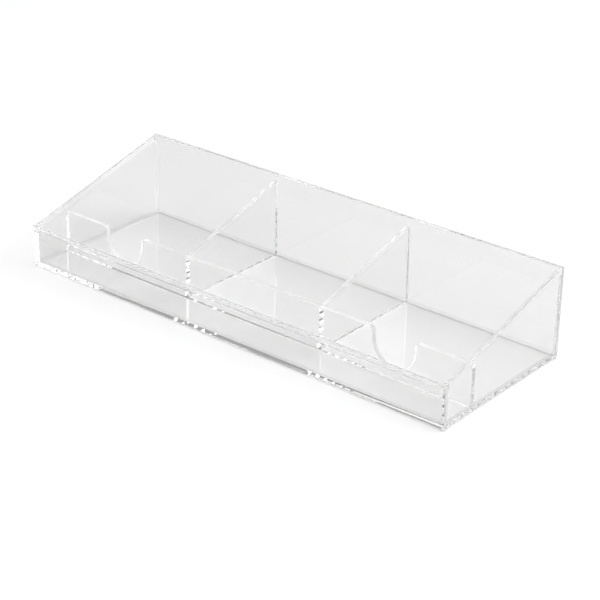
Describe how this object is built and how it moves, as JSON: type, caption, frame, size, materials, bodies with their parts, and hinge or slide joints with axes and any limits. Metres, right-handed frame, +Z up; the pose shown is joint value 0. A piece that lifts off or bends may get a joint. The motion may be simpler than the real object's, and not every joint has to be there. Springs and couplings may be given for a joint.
{
  "type": "desk organizer tray",
  "caption": "Low clear acrylic desk tray with a front pen trough and divided compartments behind it, its sides sloping up to a tall back.",
  "frame": {"origin": "centre of the rectangle that the tray stands on, in the plane of its underside", "axes": "+Z up; +X along the length of the tray; +Y from the low front panel to the tall back panel"},
  "size_m": [0.33, 0.116, 0.06],
  "materials": {
    "shell_sheet": "clear cast acrylic sheet, polished faces and edges",
    "base_sheet": "clear cast acrylic sheet, polished faces",
    "divider_sheet": "clear cast acrylic sheet, polished faces, machined and polished top edges"
  },
  "bodies": {
    "root": {"front_panel": "shell_sheet", "back_panel": "shell_sheet", "left_side_panel": "shell_sheet", "right_side_panel": "shell_sheet", "base_panel": "base_sheet", "cross_wall": "divider_sheet", "left_divider": "divider_sheet", "right_divider": "divider_sheet"}
  },
  "joints": []
}
